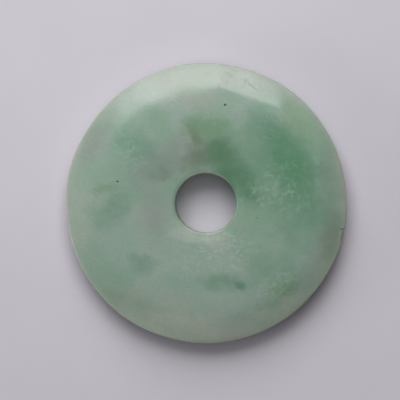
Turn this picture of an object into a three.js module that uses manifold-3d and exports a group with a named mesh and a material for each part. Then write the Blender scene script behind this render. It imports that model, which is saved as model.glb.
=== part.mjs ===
// A jade bi disc of the plain kind worn as a pendant: one ring of polished stone with a round hole.
// Its two faces are alike. Each is flat around the hole, falls away gently further out, and ends in
// a broad bevel and a narrow rim. One side of the rim has a small shell-shaped chip.
// Millimetres, +Z up. The origin is the centre of the underside, on the surface the disc lies on.
import * as THREE from "three";
import { mergeVertices } from "three/addons/utils/BufferGeometryUtils.js";
import Module from "manifold-3d";

const DISC_RADIUS = 25;
const THICKNESS = 6;
const HALF = THICKNESS / 2;
const HOLE_RADIUS = 5.35;

// The tight round at the hole's edge, and how steeply the polished face still climbs beyond it.
const LIP_ROUND = 0.4;
const LIP_CLIMB = 6;

// How steeply a face falls, in degrees, at growing radii. It changes evenly from one to the next.
const FACE = [
  { name: "roll", radius: 7.4, fall: 0, steps: 3 },
  { name: "flat", radius: 12.5, fall: 0, steps: 1 },
  { name: "dome", radius: 20.3, fall: 6.5, steps: 4 },
  { name: "crease", radius: 21.2, fall: 17, steps: 2 },
  { name: "bevel", radius: 24.5, fall: 20, steps: 3 },
];

// The rim's round, from the end of the bevel down to the upright band around the disc's middle.
const RIM_DROP = 0.5;

// The disc was ground by hand, so it is a little out of round: how far, and where each lobe peaks.
const RIM_LOBES = [
  { count: 2, height: 0.06, peak: 100 },
  { count: 6, height: 0.05, peak: 45 },
  { count: 10, height: 0.03, peak: 20 },
];
const LOBES_FADE = 6;

// The chip is the bite of a ball into the rim, in mm, at an angle in degrees.
const CHIP = { angle: -13, ball: 5, depth: 0.3, above_middle: 0.9 };

const AROUND = 96;
const LIP_STEPS = 4;
const RIM_STEPS = 3;
const BALL_STEPS = 32;
const MERGE_WITHIN = 1e-4;

const JADE = { color: 0x7f9c88, roughness: 0.22, metalness: 0 };

const radians = THREE.MathUtils.degToRad;
const slope = (degrees) => Math.tan(radians(degrees));

// One face, outwards from where the lip's round ends, with its flat at the height of zero.
function faceProfile(startRadius) {
  const points = [new THREE.Vector2(startRadius, 0)];
  let fall = slope(-LIP_CLIMB);
  for (const stretch of FACE) {
    const from = points.at(-1).clone();
    const width = stretch.radius - from.x;
    const change = slope(stretch.fall) - fall;
    for (let i = 1; i <= stretch.steps; i++) {
      const share = i / stretch.steps;
      const drop = width * share * (fall + (change * share) / 2);
      points.push(new THREE.Vector2(from.x + width * share, from.y - drop));
    }
    fall = slope(stretch.fall);
  }
  const flat = Math.max(...points.map((point) => point.y));
  return points.map((point) => point.setY(point.y - flat));
}

// The upper half of the ring's section, outwards from the hole's wall; heights are from the middle.
function upperProfile() {
  const lipEnd = Math.PI / 2 + radians(LIP_CLIMB);
  const lipCentre = HOLE_RADIUS + LIP_ROUND;
  const face = faceProfile(lipCentre + LIP_ROUND * Math.cos(lipEnd));
  face.forEach((point) => point.setY(point.y + HALF));

  const lipHeight = face[0].y - LIP_ROUND * Math.sin(lipEnd);
  const around = [lipCentre, lipHeight, LIP_ROUND, LIP_ROUND];
  const lip = new THREE.EllipseCurve(...around, Math.PI, lipEnd, true);

  const bevel = face.at(-1);
  const corner = bevel.y - (DISC_RADIUS - bevel.x) * slope(FACE.at(-1).fall);
  const rim = new THREE.QuadraticBezierCurve(
    bevel,
    new THREE.Vector2(DISC_RADIUS, corner),
    new THREE.Vector2(DISC_RADIUS, bevel.y - RIM_DROP),
  );
  return [
    ...lip.getPoints(LIP_STEPS).slice(0, -1),
    ...face.slice(0, -1),
    ...rim.getPoints(RIM_STEPS),
  ];
}

// A radius lengthened by the rim's lobes, which fade out quickly towards the hole.
function outOfRound(radius, angle) {
  let extra = 0;
  for (const { count, height, peak } of RIM_LOBES) {
    extra += height * Math.cos(count * (angle - radians(peak)));
  }
  return radius + extra * (radius / DISC_RADIUS) ** LOBES_FADE;
}

function ringGeometry() {
  const upper = upperProfile();
  const lower = upper.map((point) => new THREE.Vector2(point.x, -point.y));
  const outline = [...lower, ...upper.reverse(), lower[0]];
  const ring = new THREE.LatheGeometry(outline, AROUND);
  ring.rotateX(Math.PI / 2);
  const place = ring.getAttribute("position");
  const point = new THREE.Vector3();
  for (let i = 0; i < place.count; i++) {
    point.fromBufferAttribute(place, i);
    const angle = Math.atan2(point.y, point.x);
    const radius = outOfRound(Math.hypot(point.x, point.y), angle);
    place.setXYZ(i, radius * Math.cos(angle), radius * Math.sin(angle), point.z + HALF);
  }
  return ring;
}

function chipGeometry() {
  const ball = new THREE.SphereGeometry(CHIP.ball, BALL_STEPS, BALL_STEPS / 2);
  const reach = DISC_RADIUS - CHIP.depth + CHIP.ball;
  ball.translate(reach, 0, HALF + CHIP.above_middle);
  return ball.rotateZ(radians(CHIP.angle));
}

const wasm = await Module();
wasm.setup();

function solidOf(geometry) {
  geometry.deleteAttribute("normal");
  geometry.deleteAttribute("uv");
  const merged = mergeVertices(geometry, MERGE_WITHIN);
  const vertProperties = new Float32Array(merged.getAttribute("position").array);
  const triVerts = new Uint32Array(merged.index.array);
  return new wasm.Manifold(new wasm.Mesh({ numProp: 3, vertProperties, triVerts }));
}

function geometryOf(solid) {
  const { vertProperties, triVerts } = solid.getMesh();
  const geometry = new THREE.BufferGeometry();
  geometry.setAttribute("position", new THREE.BufferAttribute(vertProperties, 3));
  geometry.setIndex(new THREE.BufferAttribute(triVerts, 1));
  geometry.computeVertexNormals();
  return geometry;
}

function jadeDisc() {
  const chipped = solidOf(ringGeometry()).subtract(solidOf(chipGeometry()));
  const disc = new THREE.Mesh(geometryOf(chipped), new THREE.MeshStandardMaterial(JADE));
  disc.name = "jade_disc";
  return disc;
}

const part = new THREE.Group();
part.add(jadeDisc());

export default part;
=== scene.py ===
"""A polished jade bi disc lying on a pale table, seen almost from above.

One broad window lights it, with a pale ceiling and wall. The disc is one fine mesh that stands for
the CAD solid: the same section and chip, with the hand-ground irregularities and pits that are too
small for the solid. Lengths are in millimetres. They are turned into metres where a mesh, a light
or the camera is made.
"""

import math

import bmesh
import bpy
import numpy as np
from mathutils import Matrix, Vector, noise


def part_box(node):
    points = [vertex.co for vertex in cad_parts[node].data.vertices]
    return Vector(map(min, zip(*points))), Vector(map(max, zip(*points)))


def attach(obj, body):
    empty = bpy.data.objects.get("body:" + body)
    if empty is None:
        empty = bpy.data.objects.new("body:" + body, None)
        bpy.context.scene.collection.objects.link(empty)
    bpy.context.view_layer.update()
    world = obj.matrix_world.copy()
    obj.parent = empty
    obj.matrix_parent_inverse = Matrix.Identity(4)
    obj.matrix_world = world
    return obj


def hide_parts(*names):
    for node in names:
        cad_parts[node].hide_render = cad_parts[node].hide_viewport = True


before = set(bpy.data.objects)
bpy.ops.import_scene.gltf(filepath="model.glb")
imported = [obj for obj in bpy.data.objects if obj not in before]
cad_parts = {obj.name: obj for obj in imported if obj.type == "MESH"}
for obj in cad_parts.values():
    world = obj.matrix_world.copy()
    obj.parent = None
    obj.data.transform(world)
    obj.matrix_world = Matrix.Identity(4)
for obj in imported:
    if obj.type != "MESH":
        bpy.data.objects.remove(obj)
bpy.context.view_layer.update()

MM = 0.001

DISC_LOW, DISC_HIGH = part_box("jade_disc")
DISC_SPAN = (DISC_HIGH - DISC_LOW) / MM
RADIUS = (DISC_SPAN.x + DISC_SPAN.y) / 4
THICKNESS = DISC_SPAN.z
HALF = THICKNESS / 2

# The section and the rim's lobes, as the solid has them, but for a slightly tighter round at the
# rim and a smaller two-fold lobe.
HOLE_RADIUS = 5.35
LIP_ROUND = 0.4
LIP_CLIMB = 6
# Each stretch's outer radius, how steeply the face falls there in degrees, and steps per fineness.
FACE = [
    (7.4, 0, 5),
    (12.5, 0, 4),
    (20.3, 6.5, 11),
    (21.2, 17, 5),
    (24.8, 20, 9),
]
RIM_DROP = 0.5
# Lobes: how many around, their height, and where one peaks in degrees. The rim's fade towards the
# hole by this power of the radius.
RIM_LOBES = [(2, -0.02, 100), (6, 0.05, 45), (10, 0.03, 20)]
LOBES_FADE = 6

# Steps around the ring, then along the section, where all but the band's are times the fineness.
AROUND = 640
WALL_STEPS = 2
LIP_STEPS = 5
RIM_STEPS = 4
BAND_STEPS = 3
UPPER_FINENESS, LOWER_FINENESS = 2, 1

# The chip is the bite of a ball into the rim: its direction in degrees, the ball's radius, how deep
# it bites and how far above the disc's middle.
CHIP_ANGLE, CHIP_BALL, CHIP_DEPTH, CHIP_HEIGHT = -13, 5, 0.3, 0.9

# Hand-ground irregularities. On one side the crease was ground crisply in short straight runs:
# (direction in degrees, distance from the middle). Elsewhere it is round and worn soft.
CREASE = 20.75
CREASE_WIDTH = 0.8
CREASE_RUNS = [(36, 20.5), (70.5, 20.45), (95, 20.6), (110, 20.5)]
CREASE_CORNER = 21.3
CREASE_REACH = (16.5, 24.3)
CREASE_SOFTNESS = 1.1
# Where an irregularity shows: it comes in between the first two values and goes between the last
# two. The first two bands are in degrees around the disc, the other two are radii.
WORKED_BAND = (8, 24, 110, 128)
CRISP_BAND = (2, 18, 81, 92)
SOFT_BAND = (17.5, 19.5, 22, 24)
SWELL_BAND = (HOLE_RADIUS, 9, 24, RADIUS)
SWELL = 0.012
SWELL_SPACING = 9
# The hole's own lobes, and how far they reach into the face.
HOLE_LOBES = [(2, 0.09, 5), (3, 0.03, 75), (5, 0.015, 10)]
HOLE_FADE = 1.2

# Open pits: x, y, radius and depth.
PITS = [
    (3.4, 17.4, 0.22, 0.16),
    (-15.7, 3.8, 0.20, 0.13),
    (-19.8, 2.4, 0.14, 0.06),
    (9.1, -2.6, 0.11, 0.04),
    (24.25, -4.75, 0.30, 0.16),
]
# A pit rises from its full depth to the face between these shares of its radius. Around it the mesh
# is split twice, out to these shares of its radius and a margin.
PIT_SLOPE = (0.2, 1.3)
PIT_SPLITS = (3.2, 2.0)
PIT_MARGIN = 0.2

# The table lies a hair below the disc, so that the two surfaces never coincide.
TABLE_GAP = 0.01
TABLE_REACH = 2000

# The camera's tilt in degrees towards +X and +Y, its distance, the width that it sees and its aim.
CAMERA_TILT = (1.5, 0.1)
CAMERA_DISTANCE = 350
VIEW_WIDTH = 71.45
AIM = (-1.12, 0.58, HALF)

# Azimuth and elevation in degrees, width and height in mm, power in W.
LAMPS = [
    ("window", 98, 42, 370, 410, 1.93),
    ("ceiling", 90, 79, 540, 540, 0.64),
    ("pale_wall", 196, 6, 180, 180, 0.85),
]
LAMP_DISTANCE = 430
ROOM_COLOUR = (0.9, 0.9, 1.0, 1)
ROOM_LIGHT = 0.01


def tan(degrees):
    return math.tan(math.radians(degrees))


def ease(values, start, end):
    """A smooth rise from 0 at start to 1 at end."""
    share = np.clip((values - start) / (end - start), 0, 1)
    return share * share * (3 - 2 * share)


def within(values, start, full, still, end):
    """1 from full to still, with a smooth rise from start and a smooth fall to end."""
    return ease(values, start, full) * (1 - ease(values, still, end))


# ---------------------------------------------------------------- the disc's mesh

def half_section(fineness):
    """One half's radii and heights above the middle, from the hole's wall to the rim's band."""
    lip_end = math.pi / 2 + math.radians(LIP_CLIMB)
    lip_centre = HOLE_RADIUS + LIP_ROUND
    radius, height, fall = lip_centre + LIP_ROUND * math.cos(lip_end), 0.0, tan(-LIP_CLIMB)
    face = [(radius, height)]
    for outer, degrees, steps in FACE:
        width, change = outer - radius, tan(degrees) - fall
        for share in np.linspace(0, 1, steps * fineness + 1)[1:]:
            drop = width * share * (fall + change * share / 2)
            face.append((radius + width * share, height - drop))
        radius, height = face[-1]
        fall = tan(degrees)
    flat = max(height for _, height in face)
    face = [(radius, height - flat + HALF) for radius, height in face]

    lip_height = face[0][1] - LIP_ROUND * math.sin(lip_end)
    lip = [
        (lip_centre + LIP_ROUND * math.cos(turn), lip_height + LIP_ROUND * math.sin(turn))
        for turn in np.linspace(math.pi, lip_end, LIP_STEPS * fineness + 1)[:-1]
    ]
    wall = [
        (HOLE_RADIUS, lip_height * share)
        for share in np.linspace(0, 1, WALL_STEPS * fineness + 1)[:-1]
    ]

    bevel = np.array(face[-1])
    corner = np.array([RADIUS, bevel[1] - (RADIUS - bevel[0]) * tan(FACE[-1][1])])
    band = np.array([RADIUS, bevel[1] - RIM_DROP])
    rim = [
        tuple((1 - t) ** 2 * bevel + 2 * t * (1 - t) * corner + t ** 2 * band)
        for t in np.linspace(0, 1, RIM_STEPS * fineness + 1)[1:]
    ]
    edge = [(RADIUS, band[1] * (1 - share)) for share in np.linspace(0, 1, BAND_STEPS + 1)[1:]]
    return wall + lip + face + rim + edge


def ring_mesh(name):
    """The ring before its relief: a closed grid of quads, fine above and coarser below."""
    upper = half_section(UPPER_FINENESS)
    lower = [(radius, -height) for radius, height in half_section(LOWER_FINENESS)]
    outline = np.array(upper + lower[-2:0:-1])
    count = len(outline)
    angles = np.arange(AROUND) * 2 * math.pi / AROUND
    radii = outline[None, :, 0]
    points = np.stack([
        radii * np.cos(angles)[:, None],
        radii * np.sin(angles)[:, None],
        np.broadcast_to(outline[None, :, 1] + HALF, (AROUND, count)),
    ], axis=-1).reshape(-1, 3)
    here = np.arange(AROUND * count).reshape(AROUND, count)
    there = np.roll(here, -1, axis=0)
    faces = np.stack([here, np.roll(here, -1, 1), np.roll(there, -1, 1), there], -1).reshape(-1, 4)
    mesh = bpy.data.meshes.new(name)
    mesh.from_pydata((points * MM).tolist(), [], faces.tolist())
    return mesh


def refine_around_pits(mesh):
    """Splits the faces around each pit, so that the pit has enough points to be round."""
    bm = bmesh.new()
    bm.from_mesh(mesh)
    for x, y, size, _ in PITS:
        for reach in PIT_SPLITS:
            most = reach * size + PIT_MARGIN
            near = {
                edge for edge in bm.edges
                if all(v.co.z > HALF * MM and math.hypot(v.co.x / MM - x, v.co.y / MM - y) < most
                       for v in edge.verts)
            }
            bmesh.ops.subdivide_edges(bm, edges=list(near), cuts=1, use_grid_fill=True)
    many_sided = [face for face in bm.faces if len(face.verts) > 4]
    bmesh.ops.triangulate(bm, faces=many_sided, ngon_method="BEAUTY")
    bm.to_mesh(mesh)
    bm.free()


def out_of_round(points):
    """Lengthens each point's radius by the lobes of the rim and of the hole."""
    radius = np.hypot(points[:, 0], points[:, 1])
    angle = np.arctan2(points[:, 1], points[:, 0])
    rim = sum(h * np.cos(n * (angle - math.radians(peak))) for n, h, peak in RIM_LOBES)
    hole = sum(h * np.cos(n * (angle - math.radians(peak))) for n, h, peak in HOLE_LOBES)
    stretched = radius + rim * (radius / RADIUS) ** LOBES_FADE
    stretched += hole * np.exp(-(radius - HOLE_RADIUS) / HOLE_FADE)
    points[:, :2] *= (stretched / radius)[:, None]


def rework_crease(points):
    """Moves the upper crease to its runs and softens it, by reading the section elsewhere."""
    section = np.array(half_section(UPPER_FINENESS))
    section = section[(section[:, 0] > HOLE_RADIUS + 1) & (section[:, 1] > HALF / 2)]
    radius = np.hypot(points[:, 0], points[:, 1])
    angle = np.degrees(np.arctan2(points[:, 1], points[:, 0]))
    crease = np.full(len(points), CREASE_CORNER)
    for direction, distance in CREASE_RUNS:
        off = np.radians((angle - direction + 180) % 360 - 180)
        crease = np.minimum(crease, distance / np.maximum(np.cos(off), 0.5))
    low, high = CREASE_REACH
    share = within(radius, low, CREASE, CREASE + CREASE_WIDTH, high)
    middle = radius - (crease - CREASE) * within(angle, *WORKED_BAND) * share
    spread = CREASE_SOFTNESS * (1 - within(angle, *CRISP_BAND)) * within(radius, *SOFT_BAND)
    soft = sum(np.interp(middle + spread * step, *section.T) for step in (-1, -0.5, 0, 0.5, 1)) / 5
    above = (points[:, 2] > HALF + 0.5) & (radius > low) & (radius < high)
    points[:, 2] += np.where(above, soft - np.interp(radius, *section.T), 0)


def swell(points):
    """The slight waviness of hand polishing. The underside only loses stone, so it lies flat."""
    amounts = np.array([noise.noise(Vector(point) / SWELL_SPACING) for point in points.tolist()])
    face = within(np.hypot(points[:, 0], points[:, 1]), *SWELL_BAND)
    above = points[:, 2] > HALF
    points[:, 2] += np.where(above, amounts, np.maximum(amounts, 0)) * SWELL * face


def bite_chip(points):
    """Pushes the rim in to the surface of a ball, which leaves the shell shape of a chip."""
    angle = math.radians(CHIP_ANGLE)
    reach = RADIUS - CHIP_DEPTH + CHIP_BALL
    centre = np.array([reach * math.cos(angle), reach * math.sin(angle), HALF + CHIP_HEIGHT])
    outward = points * (1, 1, 0)
    outward /= np.linalg.norm(outward, axis=1)[:, None]
    offset = points - centre
    along = (offset * outward).sum(1)
    inside = along ** 2 - (offset ** 2).sum(1) + CHIP_BALL ** 2
    push = along + np.sqrt(np.maximum(inside, 0))
    push[(inside <= 0) | (along > 0)] = 0
    points -= outward * np.maximum(push, 0)[:, None]


def press_pits(points):
    """Lowers the upper face to a rounded pit at each of the open pits' places."""
    for x, y, size, depth in PITS:
        away = np.hypot(points[:, 0] - x, points[:, 1] - y) / size
        points[:, 2] -= np.where(points[:, 2] > HALF, depth * (1 - ease(away, *PIT_SLOPE)), 0)


def shape_disc(mesh):
    """Gives the even ring all that makes it a hand-ground disc."""
    points = np.empty(len(mesh.vertices) * 3)
    mesh.vertices.foreach_get("co", points)
    points = points.reshape(-1, 3) / MM
    rework_crease(points)
    swell(points)
    out_of_round(points)
    bite_chip(points)
    press_pits(points)
    mesh.vertices.foreach_set("co", (points * MM).ravel())
    mesh.update()


# ---------------------------------------------------------------- materials

def linear(code):
    """A linear colour from an sRGB hex code."""
    channels = [int(code[i:i + 2], 16) / 255 for i in (1, 3, 5)]
    return [c / 12.92 if c <= 0.04045 else ((c + 0.055) / 1.055) ** 2.4 for c in channels] + [1.0]


class Graph:
    """Shorthand for wiring a material: arguments are numbers, tuples or other nodes' outputs."""

    def __init__(self, name):
        self.material = bpy.data.materials.new(name)
        self.material.use_nodes = True
        self.tree = self.material.node_tree
        self.shader = self.tree.nodes["Principled BSDF"]

    def put(self, socket, value):
        if isinstance(value, bpy.types.NodeSocket):
            self.tree.links.new(value, socket)
        else:
            socket.default_value = value

    def node(self, kind, inputs, **settings):
        node = self.tree.nodes.new(kind)
        for name, value in settings.items():
            setattr(node, name, value)
        for key, value in inputs.items():
            self.put(node.inputs[key], value)
        return node

    def position(self):
        """The place on the object, in millimetres."""
        place = self.node("ShaderNodeTexCoord", {}).outputs["Object"]
        return self.scaled(place, 1 / MM)

    def vector(self, operation, a, b=(0, 0, 0)):
        node = self.node("ShaderNodeVectorMath", {0: a, 1: b}, operation=operation)
        return node.outputs["Value" if operation in ("LENGTH", "DOT_PRODUCT") else "Vector"]

    def scaled(self, a, scale):
        node = self.node("ShaderNodeVectorMath", {}, operation="SCALE")
        self.put(node.inputs[0], a)
        self.put(node.inputs["Scale"], scale)
        return node.outputs["Vector"]

    def math(self, operation, a, b=0.0):
        return self.node("ShaderNodeMath", {0: a, 1: b}, operation=operation).outputs[0]

    def times(self, a, b):
        return self.math("MULTIPLY", a, b)

    def plus(self, a, b):
        return self.math("ADD", a, b)

    def noise(self, place, spacing, detail=2, rough=0.5, output="Fac"):
        """Cloudy values around 0.5, in blotches about as wide as the spacing."""
        inputs = {"Vector": place, "Scale": 1 / spacing, "Detail": detail, "Roughness": rough}
        return self.node("ShaderNodeTexNoise", inputs).outputs[output]

    def shifted(self, place, spacing, distance):
        """The place moved about by noise, so that shapes drawn with it have natural outlines."""
        push = self.vector("SUBTRACT", self.noise(place, spacing, output="Color"), (0.5, 0.5, 0.5))
        return self.vector("ADD", place, self.scaled(push, 2 * distance))

    def oval(self, place, x, y, length, width, turn, name):
        """How far a place is from an upright oval's middle: 1 on its outline."""
        inputs = {"Vector": place, "Location": (x, y, HALF), "Rotation": (0, 0, math.radians(turn)),
                  "Scale": (length, width, THICKNESS)}
        local = self.node("ShaderNodeMapping", inputs, vector_type="TEXTURE", name=name)
        return self.vector("LENGTH", local.outputs["Vector"])

    def rise(self, value, start, end, low=0.0, high=1.0):
        """A smooth change from low at start to high at end."""
        inputs = {"Value": value, "From Min": start, "From Max": end, "To Min": low, "To Max": high}
        node = self.node("ShaderNodeMapRange", inputs, interpolation_type="SMOOTHSTEP")
        return node.outputs["Result"]

    def mix(self, amount, a, b):
        node = self.tree.nodes.new("ShaderNodeMix")
        node.data_type = "RGBA"
        sockets = [socket for socket in node.inputs if socket.type == "RGBA"]
        self.put(node.inputs["Factor"], amount)
        self.put(sockets[0], a)
        self.put(sockets[1], b)
        return next(socket for socket in node.outputs if socket.type == "RGBA")

    def bump(self, height, distance):
        """Roughens the surface by the height, which is worth the distance at 1."""
        inputs = {"Height": height, "Distance": distance * MM, "Strength": 1.0}
        bump = self.node("ShaderNodeBump", inputs)
        self.put(self.shader.inputs["Normal"], bump.outputs["Normal"])


PALE = "#92a498"
GREY = "#828e84"
PINKISH = "#8a928b"
LIGHT_GREEN = "#80a08c"
MID_GREEN = "#72987c"
GREY_GREEN = "#73887b"
GREY_WHITE = "#9fa196"
TEAL = "#618c73"
DEEP_TEAL = "#4f7b65"
GREEN = "#638b63"
EMERALD = "#3c8056"
DARK_GREEN = "#40744e"
OLIVE = "#637a59"
YELLOW_GREEN = "#86a381"
BROWNISH = "#61745c"
WHITE = "#b1b8ac"
RIM_SKIN_AND_GLOW = "#9ea292"
COTTON = "#b8ccbb"
DARK_PIT = "#2c382e"
# Linear colours of the board's mottle.
BOARD_DARK = (0.61, 0.58, 0.64, 1)
BOARD_LIGHT = (0.63, 0.6, 0.66, 1)

# Radii over which the stone changes towards the hole's edge and towards the rim, from none to full.
BROWN_LIP = (6.3, 5.7)
# The pale lip is painted glow: it stands in for light through the stone's edge on the hole's shaded
# side.
GLOW_LIP = (5.8, 5.5)
DULL_LIP = (6.4, 5.7)
# The paler bevel and rim are partly paler stone and partly painted glow of light through the thin
# edge.
PALE_AND_GLOW_BEVEL = (20.2, 23.4)
PALE_RIM = (23.9, 24.8)
DULL_RIM = (23.8, 24.8)
# The hole's edge is painted paler only on the side in this direction, which is its shaded side:
# a painted glow that stands in for light passing through the stone's edge.
GLOW_LIP_SIDE = (-0.5, 0.87, 0)

# Clouds of colour in the stone: name, middle (x, y), half length, half width, turn in degrees,
# colour and strength. Later ones lie over earlier ones.
CLOUDS = [
    ("left_pale", -18, -4, 6, 9, 20, PALE, 0.5),
    ("left_rim_pale", -22.8, -1, 8, 2.6, 92, WHITE, 0.3),
    ("upper_left_rim", -19.0, 11.5, 6, 2.6, 60, GREY, 0.6),
    ("bottom_rim_pale", -4, -22.2, 12, 3.4, -6, WHITE, 0.85),
    ("bottom_right_rim_pale", 11, -20.2, 8, 2.6, 28, WHITE, 0.6),
    ("top_rim_pale", -2, 22.4, 12, 2.6, 3, GREY_WHITE, 0.6),
    ("right_half", 12, 2, 13, 10, 70, MID_GREEN, 0.8),
    ("upper_green", 6, 11, 10, 5, -20, MID_GREEN, 0.8),
    ("upper_grey", -6.0, 8.0, 8.0, 4.6, 40, GREY, 0.8),
    ("upper_left_shade", -10.5, 6.6, 6.5, 4.2, 20, GREY_GREEN, 0.5),
    ("left_pinkish", -9.0, -1.9, 6.0, 3.4, 95, PINKISH, 0.8),
    ("upper_veil", -0.8, 18.4, 4.8, 2.0, -4, GREY_WHITE, 0.6),
    ("upper_pale", 5.6, 14.4, 2.2, 1.6, 60, PALE, 0.4),
    ("bottom_left_pale", -6.0, -17.0, 6.2, 2.8, -8, PALE, 0.8),
    ("bottom_veil", -9.0, -17.4, 9.0, 2.8, -8, GREY_WHITE, 0.38),
    ("lower_lip_pale", -1.4, -5.6, 6.0, 2.0, -16, WHITE, 0.7),
    ("left_low_pale", -11.5, -6.6, 5.5, 2.4, 0, PALE, 0.35),
    ("below_hole_pale", -0.5, -11.1, 5.5, 4.2, -10, PALE, 0.7),
    ("lower_right_teal", 10.5, -11.0, 5.6, 3.4, -20, TEAL, 0.55),
    ("right_teal", 16.5, -0.5, 7.4, 5.6, 80, TEAL, 0.95),
    ("upper_right_green", 10.5, 13.6, 4.4, 3.2, -40, TEAL, 0.8),
    ("upper_left_teal", -13.0, 10.6, 5.0, 3.4, -25, TEAL, 0.65),
    ("left_light_green", -17.0, 5.5, 4.5, 3.6, 0, LIGHT_GREEN, 0.5),
    ("upper_left_green", -9.4, 15.8, 3.4, 1.7, 15, MID_GREEN, 0.5),
    ("left_teal", -16.7, -1.5, 4.2, 3.0, 50, TEAL, 0.75),
    ("left_green", -18.0, 2.6, 2.8, 1.3, 5, GREEN, 0.5),
    ("lower_left_teal", -10.8, -10.6, 2.8, 1.7, -10, TEAL, 0.7),
    ("lower_left_green", -16.4, -16.6, 3.0, 2.0, -50, GREEN, 0.15),
    ("bottom_teal", 3.4, -14.0, 5.2, 2.0, -8, TEAL, 0.75),
    ("top_green", 0.2, 13.2, 4.8, 2.7, -12, GREEN, 0.78),
    ("top_green_right", 3.0, 14.7, 2.0, 1.4, 0, GREEN, 0.45),
    ("rim_yellow_green", 16.6, 14.4, 4.4, 2.4, -45, YELLOW_GREEN, 0.7),
    ("lower_right_green", 13.4, -15.2, 3.7, 2.4, 20, GREEN, 0.6),
    ("right_olive", 22.2, -5.8, 4.6, 2.2, 78, OLIVE, 0.45),
    ("emerald_halo", 14.0, 6.6, 9.0, 6.4, -60, TEAL, 0.85),
    ("emerald", 15.0, 7.2, 7.8, 3.8, -64, EMERALD, 0.95),
    ("right_rim_pale", 22.6, 3.6, 7.5, 2.3, 86, PALE, 0.4),
    ("between_greens", 9.6, 7.9, 2.4, 1.7, -60, TEAL, 0.5),
    ("above_hole", -0.4, 7.6, 4.4, 2.2, 5, BROWNISH, 0.85),
    ("hole_green_halo", 5.4, 6.0, 8.0, 4.8, -55, TEAL, 0.75),
    ("hole_green", 4.9, 5.4, 6.8, 2.7, -54, DARK_GREEN, 0.95),
    ("hole_green_head", 2.2, 8.8, 3.2, 2.6, 10, DARK_GREEN, 0.85),
    ("hole_green_foot", 6.9, 2.4, 2.4, 1.2, -62, DARK_GREEN, 0.6),
    ("dark_streak", -1.8, 12.0, 2.3, 1.1, -45, OLIVE, 0.8),
    ("brown_shade", -1.6, 8.4, 3.4, 2.6, 60, BROWNISH, 0.8),
    ("left_of_hole_brown", -8.2, 4.8, 2.4, 1.6, 40, BROWNISH, 0.4),
    ("deep_spot", 6.0, -14.6, 1.6, 1.0, -15, DEEP_TEAL, 0.85),
]

# Where the stone is full of white fibres, given in the same way but without a colour.
FIBRES = [
    ("below_hole", 2.5, -8.5, 8.5, 4.2, 5, 1.0),
    ("right", 14.0, 2.0, 6.5, 6.5, 0, 0.7),
    ("right_of_hole", 9.5, 2.0, 3.0, 4.0, 0, 0.8),
    ("upper_left", -14.0, 9.0, 3.0, 5.5, 20, 0.6),
    ("lower_right", 12.5, -14.5, 5.0, 4.0, 20, 0.6),
]


def fleck(g, place, spacing, width, bend, keep):
    """Short white strokes, each bent, turned its own way and set at a random place in the stone.

    They are about the spacing apart, and of all that would fit only the share to keep shows.
    """
    cell = g.node("ShaderNodeTexVoronoi", {"Vector": place, "Scale": 1 / spacing})
    chance = g.node("ShaderNodeSeparateColor", {"Color": cell.outputs["Color"]}).outputs
    local = g.vector("SUBTRACT", place, cell.outputs["Position"])
    spin = {"Vector": local, "Angle": g.times(chance[0], math.tau)}
    turned = g.node("ShaderNodeVectorRotate", spin, rotation_type="Z_AXIS").outputs["Vector"]
    flat = g.vector("MULTIPLY", g.vector("SUBTRACT", turned, (bend, 0, 0)), (1, 1, 0.4))
    across = g.math("ABSOLUTE", g.math("SUBTRACT", g.vector("LENGTH", flat), bend))
    along = g.vector("LENGTH", local)
    stroke = g.times(g.rise(across, width, 0), g.rise(along, spacing * 0.42, spacing * 0.15))
    return g.times(stroke, g.rise(chance[1], 1 - keep, 1 - keep + 0.2))


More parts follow.
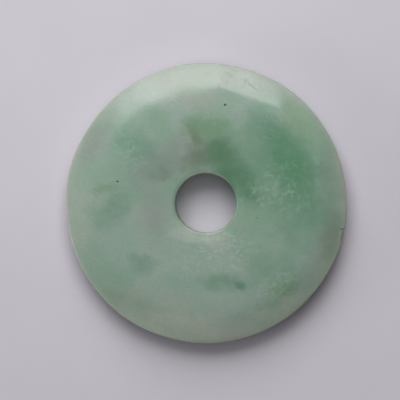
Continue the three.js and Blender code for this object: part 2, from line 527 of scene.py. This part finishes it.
def jade_colour(g, place, radius):
    """Mottled stone: soft clouds of colour, white fibres, fine grain, and a paler rim and lip,
    partly painted glow of light through the stone's thin edges.
    """
    mottle = g.noise(place, 7, 3, 0.55)
    grain = g.noise(place, 2.0, 4, 0.6)
    colour = g.mix(g.rise(mottle, 0.35, 0.65), linear(LIGHT_GREEN), linear(PALE))

    # Paler towards the rim all round: partly paler stone, partly painted glow that stands in for
    # light through the thin edge.
    near_edges = g.rise(g.plus(radius, g.noise(place, 3, 2)), *PALE_AND_GLOW_BEVEL, 0, 0.25)
    colour = g.mix(near_edges, colour, linear(WHITE))
    colour = g.mix(g.rise(radius, *BROWN_LIP, 0, 0.4), colour, linear(BROWNISH))

    bent = g.shifted(g.shifted(place, 4, 2.0), 1.2, 0.7)
    patchy = g.rise(grain, 0.25, 0.6, 0.65, 1.0)
    for name, x, y, length, width, turn, tone, strength in CLOUDS:
        away = g.oval(bent, x, y, length, width, turn, name)
        amount = g.times(g.rise(away, 1.4, 0.4, 0.0, strength), patchy)
        colour = g.mix(amount, colour, linear(tone))

    # Painted glow: the lip on the hole's shaded side is painted paler, standing in for light
    # through the stone's edge.
    painted_glow_side = g.rise(g.vector("DOT_PRODUCT", place, GLOW_LIP_SIDE), 0, 4, 0, 0.55)
    colour = g.mix(g.times(painted_glow_side, g.rise(radius, *GLOW_LIP)), colour, linear(WHITE))
    # The rim's last millimetre is painted paler and yellower: partly the stone's own skin, partly
    # painted glow of light through the thin edge.
    edge = g.times(g.rise(radius, *PALE_RIM), g.rise(g.noise(place, 7, 2), 0.4, 0.6, 0.2, 0.6))
    colour = g.mix(edge, colour, linear(RIM_SKIN_AND_GLOW))

    fibrous = 0.0
    for name, x, y, length, width, turn, strength in FIBRES:
        amount = g.rise(g.oval(bent, x, y, length, width, turn, name), 1.25, 0.5, 0.0, strength)
        fibrous = g.math("MAXIMUM", amount, fibrous)
    loose = g.plus(g.times(fibrous, 0.9), 0.1)
    cotton = g.rise(g.noise(g.shifted(place, 1.2, 0.5), 1.0, 3, 0.6), 0.45, 0.7, 0, 0.35)
    short, long = fleck(g, place, 1.4, 0.22, 0.9, 0.36), fleck(g, place, 2.6, 0.28, 2.0, 0.45)
    strokes = g.math("MAXIMUM", short, long)
    white = g.times(g.math("MAXIMUM", cotton, g.times(strokes, 0.5)), loose)
    colour = g.mix(white, colour, linear(COTTON))

    shade = g.rise(g.noise(place, 0.55, 3, 0.6), 0.3, 0.7, 0.0, 0.09)
    colour = g.mix(shade, colour, linear(DARK_GREEN))
    return colour


def jade_material():
    """Polished, slightly translucent stone: fine scratches, a duller rim and darker pits."""
    g = Graph("polished_jade")
    place = g.position()
    radius = g.vector("LENGTH", g.vector("MULTIPLY", place, (1, 1, 0)))
    colour = jade_colour(g, place, radius)
    # The pits are coloured darker and made rougher.
    dark_pits = 0.0
    for x, y, size, _ in PITS:
        local = g.vector("SUBTRACT", place, (x, y, THICKNESS))
        away = g.vector("LENGTH", g.vector("MULTIPLY", local, (1, 1, 0.3)))
        dark_pits = g.math("MAXIMUM", g.rise(away, size * 1.15, size * 0.5), dark_pits)
    g.put(g.shader.inputs["Base Color"], g.mix(dark_pits, colour, linear(DARK_PIT)))

    line = g.noise(g.shifted(place, 2.5, 0.8), 1.7, 2)
    line = g.rise(g.math("ABSOLUTE", g.math("SUBTRACT", line, 0.5)), 0.018, 0)
    scratched = g.times(line, g.rise(g.noise(place, 3.4, 1), 0.46, 0.6))
    polish = g.rise(g.noise(place, 4, 3), 0.3, 0.7, 0.28, 0.36)
    near_edges = g.math("MAXIMUM", g.rise(radius, *DULL_RIM, 0, 0.14), g.rise(radius, *DULL_LIP, 0, 0.3))
    rough = g.plus(g.plus(polish, near_edges), g.times(scratched, 0.2))
    g.put(g.shader.inputs["Roughness"], g.math("MAXIMUM", rough, g.times(dark_pits, 0.8)))

    peel = g.times(g.noise(place, 1.6, 2), 0.5)
    height = g.plus(peel, g.times(g.noise(place, 0.35, 2), 0.06))
    height = g.math("SUBTRACT", height, g.times(scratched, 0.6))
    g.bump(height, 0.03)

    g.shader.inputs["IOR"].default_value = 1.66
    g.shader.inputs["Subsurface Weight"].default_value = 0.5
    g.shader.inputs["Subsurface Radius"].default_value = (1.0, 1.1, 0.9)
    g.shader.inputs["Subsurface Scale"].default_value = 2 * MM
    return g.material


def floor_material():
    """A matt painted board: nearly even, with a faint mottle and a fine tooth."""
    g = Graph("pale_table")
    place = g.position()
    mottle = g.rise(g.noise(place, 30, 4, 0.6), 0.3, 0.7)
    g.put(g.shader.inputs["Base Color"], g.mix(mottle, BOARD_DARK, BOARD_LIGHT))
    g.put(g.shader.inputs["Roughness"], g.rise(g.noise(place, 12, 3), 0.3, 0.7, 0.84, 0.94))
    g.bump(g.noise(place, 0.5, 3), 0.02)
    return g.material


# ---------------------------------------------------------------- the scene

def add_object(name, data):
    thing = bpy.data.objects.new(name, data)
    bpy.context.scene.collection.objects.link(thing)
    return thing


def aimed(location, target, up):
    """A placement that looks from one point at another, with the picture's top towards up."""
    back = (Vector(location) - Vector(target)).normalized()
    right = Vector(up).cross(back).normalized()
    turn = Matrix((right, back.cross(right), back)).transposed().to_4x4()
    return Matrix.Translation(Vector(location) * MM) @ turn


def polar(azimuth, elevation, distance):
    """The place at a distance from the disc's underside, in a direction given in degrees."""
    flat = distance * math.cos(math.radians(elevation))
    azimuth = math.radians(azimuth)
    rise = distance * math.sin(math.radians(elevation))
    return Vector((flat * math.cos(azimuth), flat * math.sin(azimuth), rise))


def build_camera():
    camera = add_object("camera", bpy.data.cameras.new("camera"))
    direction = Vector((tan(CAMERA_TILT[0]), tan(CAMERA_TILT[1]), 1)).normalized()
    place = Vector(AIM) + direction * CAMERA_DISTANCE
    camera.matrix_world = aimed(place, AIM, (0, 1, 0))
    camera.data.lens = camera.data.sensor_width * CAMERA_DISTANCE / VIEW_WIDTH
    camera.data.clip_start = 10 * MM
    bpy.context.scene.camera = camera


def add_lamp(name, azimuth, elevation, width, height, power):
    """An area lamp aimed at the disc's middle; width and height are in millimetres."""
    lamp = add_object(name, bpy.data.lights.new(name, "AREA"))
    lamp.data.shape = "RECTANGLE"
    lamp.data.size = width * MM
    lamp.data.size_y = height * MM
    lamp.data.energy = power
    lamp.matrix_world = aimed(polar(azimuth, elevation, LAMP_DISTANCE), (0, 0, 0), (0, 0, 1))


def build_lights():
    for lamp in LAMPS:
        add_lamp(*lamp)
    world = bpy.data.worlds.new("room")
    world.use_nodes = True
    background = world.node_tree.nodes["Background"]
    background.inputs["Color"].default_value = ROOM_COLOUR
    background.inputs["Strength"].default_value = ROOM_LIGHT
    bpy.context.scene.world = world


def build_floor():
    mesh = bpy.data.meshes.new("table")
    reach = TABLE_REACH * MM
    corners = [(-reach, -reach), (reach, -reach), (reach, reach), (-reach, reach)]
    mesh.from_pydata([(x, y, -TABLE_GAP * MM) for x, y in corners], [], [(0, 1, 2, 3)])
    mesh.materials.append(floor_material())
    floor = add_object("table", mesh)


def build_disc():
    mesh = ring_mesh("polished_disc")
    refine_around_pits(mesh)
    shape_disc(mesh)
    mesh.shade_smooth()
    mesh.materials.append(jade_material())
    disc = add_object("polished_disc", mesh)
    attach(disc, "root")
    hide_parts("jade_disc")


bpy.context.scene.view_settings.view_transform = "Standard"
build_camera()
build_lights()
build_floor()
build_disc()
